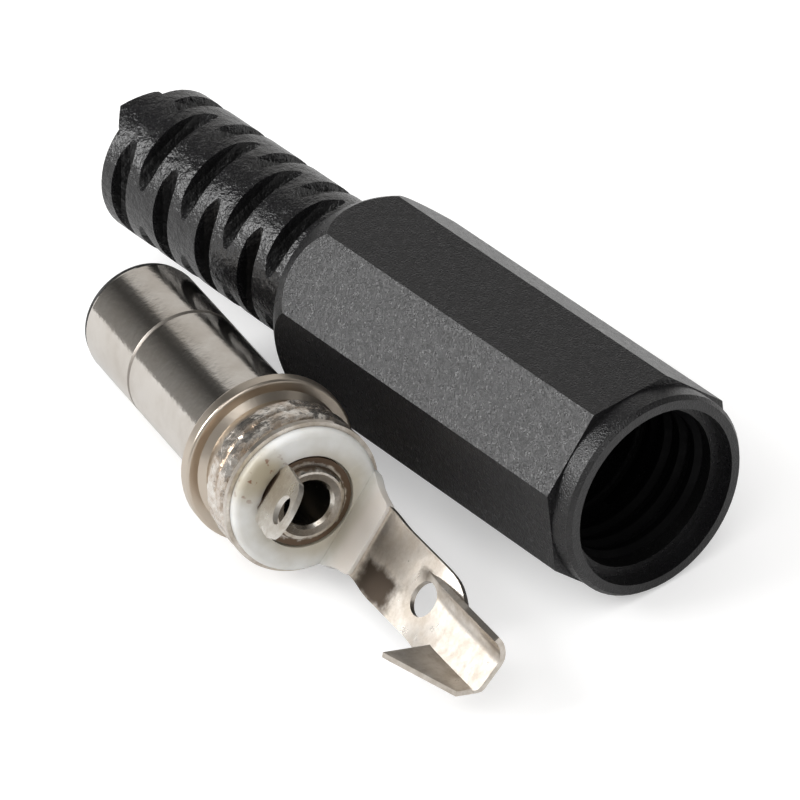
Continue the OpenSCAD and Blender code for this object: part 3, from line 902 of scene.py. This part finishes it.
slope_fall = 0.17
high_bend_at = 0.45
high_bend_radius = 1.05
high_ear_angle = math.radians(76)
rise_from = 4.0
rise_over = 3.9
slit_at = 1.05
slit_spread = 0.88


def ramp_up(along, start, over):
    return max(0, min(1, (along - start) / over))


def strip_point(height, across, along):
    x = tongue_outer - height * math.cos(strip_set) + along * math.sin(strip_set)
    z = tongue_end + height * math.sin(strip_set) + along * math.cos(strip_set)
    twist = strip_twist * smooth_step(ramp_up(along, 0, strip_twist_over))
    twist += trough_twist * smooth_step(ramp_up(along, trough_twist_from, trough_twist_over))
    turned_x = x * math.cos(twist) - across * math.sin(twist)
    turned_y = x * math.sin(twist) + across * math.cos(twist)
    return laid @ (Vector((turned_x, turned_y, z)) * mm)


def high_rise(along):
    k = ramp_up(along, rise_from, rise_over)
    return 1 - (1 - k) * (1 - k)


def high_edge(along):
    return slit_at + slit_spread * ramp_up(along, rise_from, rise_over)


def low_edge(along):
    k = (along - low_ear_front) / (low_ear_end - low_ear_front)
    return low_bend_at + low_bend_radius * low_ear_angle + low_ear_length - low_ear_taper * k


def round_bend(past, radius, angle):
    a = min(past / radius, angle)
    straight = max(0, past - radius * angle)
    return (radius * (1 - math.cos(a)) + straight * math.sin(angle),
            radius * math.sin(a) + straight * math.cos(angle))


def bent(across, along, low_angle):
    if across >= 0:
        side, bend_at, radius = 1, high_bend_at, high_bend_radius
        angle = high_ear_angle * high_rise(along)
    else:
        side, bend_at, radius = -1, low_bend_at, low_bend_radius
        angle = low_angle
    past = abs(across) - bend_at
    if angle < 0.001 or past <= 0:
        return strip_point(0, across, along)
    height, out_by = round_bend(past, radius, angle)
    return strip_point(height, side * (bend_at + out_by), along)


def trough_end(across):
    if across < -low_step_outer:
        return low_ear_end
    if across < -low_step_inner:
        return (low_ear_end + low_step * (across + low_step_outer)
                / (low_step_outer - low_step_inner))
    if across > slope_from:
        return trough_stop - slope_fall * (across - slope_from) / slope_over
    return trough_stop


def foot_point(depth, across):
    bend = foot_corner * math.pi / 2
    if depth < foot_flat:
        x, z = tongue_outer - foot_corner - foot_flat + depth, seat_back
    elif depth < foot_flat + bend:
        a = (depth - foot_flat) / foot_corner
        x = tongue_outer - foot_corner + foot_corner * math.sin(a)
        z = seat_back + foot_corner * (1 - math.cos(a))
    else:
        x, z = tongue_outer, seat_back + foot_corner + (depth - foot_flat - bend)
    return laid @ (Vector((x, across, z)) * mm)


def spread(low, high, count):
    return [low + (high - low) * k / count for k in range(count + 1)]


def add_rows(rows, points, faces):
    first = len(points)
    width = len(rows[0])
    for row in rows:
        points.extend(row)
    for i in range(len(rows) - 1):
        for j in range(width - 1):
            a = first + i * width + j
            faces.append((a, a + 1, a + width + 1, a + width))


def weld(piece, distance):
    shape = bmesh.new()
    shape.from_mesh(piece.data)
    bmesh.ops.remove_doubles(shape, verts=shape.verts, dist=distance)
    shape.to_mesh(piece.data)
    shape.free()


# The blank is laid out in turn: foot and strip in three lanes, the lower edge and the middle
# up to the lower ear, the trough, the lower ear, and the corner left flat beyond the slit.
foot_depths = [0, 0.2, 0.34]
foot_depths += [foot_flat + foot_corner * math.pi / 2 * k / 4 for k in range(5)]
foot_depths += [0.6, 1.2, 1.8, 2.4]
strip_stations = [0, 0.3, 0.7, 1.1, 1.6, 2.2, 2.8, 3.4, rise_from]
rise_stations = spread(rise_from, low_ear_front, 14)
points, faces = [], []
for low, high, count in ((-strip_half, -low_bend_at, 4), (-low_bend_at, slit_at, 16),
                         (slit_at, strip_half, 4)):
    lane = spread(low, high, count)
    rows = [[foot_point(depth, across) for across in lane] for depth in foot_depths]
    rows += [[bent(across, along, 0) for across in lane] for along in strip_stations]
    add_rows(rows, points, faces)
add_rows([[bent(across, along, 0) for across in spread(-strip_half, -low_bend_at, 4)]
          for along in rise_stations], points, faces)
rows = [[bent(across, along, 0) for across in spread(-low_bend_at, high_edge(along), 16)]
        for along in rise_stations]
for k in range(1, 25):
    nominal = low_ear_front + (trough_stop - low_ear_front) * k / 24
    row = []
    for across in spread(-low_bend_at, high_edge(nominal), 16):
        along = low_ear_front + (trough_end(across) - low_ear_front) * k / 24
        row.append(bent(across, along, 0))
    rows.append(row)
add_rows(rows, points, faces)
arc_end = low_bend_at + low_bend_radius * low_ear_angle
rows = []
for k in range(25):
    nominal = low_ear_front + (low_ear_end - low_ear_front) * k / 24
    row = []
    for across in (spread(-low_edge(nominal), -arc_end, 6)[:-1]
                   + spread(-arc_end, -low_bend_at, 6)):
        along = low_ear_front + (trough_end(across) - low_ear_front) * k / 24
        row.append(bent(across, along, low_ear_angle))
    rows.append(row)
add_rows(rows, points, faces)
corner_outline = [(rise_from, slit_at, strip_half), (4.5, 1.02, strip_half),
                  (5.0, 0.99, strip_half), (5.4, 0.97, strip_half), (5.75, 0.95, 1.70),
                  (6.05, 0.94, 1.64), (6.3, 0.93, 1.56), (6.55, 0.92, 1.46),
                  (6.8, 0.91, 1.34), (7.0, 0.90, 1.20), (7.12, 0.89, 1.05)]
add_rows([[strip_point(0, across, along) for across in spread(low, high, 4)]
          for along, low, high in corner_outline], points, faces)
lug_strip = add_piece("lug_strip", points, faces)
weld(lug_strip, 0.00001 * mm)
hole_from = strip_point(0.6, wire_hole_aside, wire_hole_at)
hole_to = strip_point(-0.8, wire_hole_aside, wire_hole_at)
hole_way = (hole_to - hole_from).normalized()
through = (Matrix.Translation(hole_from)
           @ hole_way.to_track_quat("Z", "Y").to_matrix().to_4x4())
wire_hole = add_piece("wire_hole", *cylinder_points(wire_hole_radius, low=0, high=1.4,
                                                    segments=56, matrix=through))
seat_ring = seat_washer("seat_ring", ring_bore, ring_rim, ring_front, seat_back, laid,
                        chord=ring_cut)
finish_shape(lug_strip, lug_sheet, [wire_hole], [seat_ring], edge=0.035)


# Painted reflection: a dark brown patch on the strip near the insulator, standing in for a
# dark reflection in the plating.
def strip_painted_reflection(tree, place):
    corner = strip_point(0, -1.05, 1.70)
    arms = ((strip_point(0, -0.05, 1.70), 1.0), (strip_point(0, -1.05, 2.70), 0.55))
    from_spot = vector_maths(tree, "SUBTRACT", corner)
    mottle = noise(tree, 1500, 5)
    wander = maths(tree, "MULTIPLY_ADD", 0.7 * mm)
    furthest = maths(tree, "MAXIMUM")
    wire(tree, place.outputs["Object"], from_spot.inputs[0])
    for k, (end, share) in enumerate(arms):
        offset = vector_maths(tree, "DOT_PRODUCT", (end - corner).normalized() * share)
        either_side = maths(tree, "ABSOLUTE")
        wire(tree, from_spot.outputs[0], offset.inputs[0])
        wire(tree, offset.outputs["Value"], either_side.inputs[0])
        wire(tree, either_side.outputs[0], furthest.inputs[k])
    wire(tree, place.outputs["Object"], mottle.inputs["Vector"])
    wire(tree, mottle.outputs["Fac"], wander.inputs[0])
    wire(tree, furthest.outputs[0], wander.inputs[2])
    return wander.outputs[0], 0.84 * mm, 1.30 * mm, (0.075, 0.058, 0.045), 0.34


satin_nickel = plated("satin_nickel", colour=(0.76, 0.71, 0.65), dark=(0.54, 0.48, 0.41),
                      rough=(0.26, 0.38), lines=(2500, 0.001 * mm), pits=(3500, 0.012 * mm),
                      clouds=1500, zones=[strip_painted_reflection])
lug_strip.data.materials.append(satin_nickel)
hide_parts("sleeve_lug")
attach(lug_strip, "root")
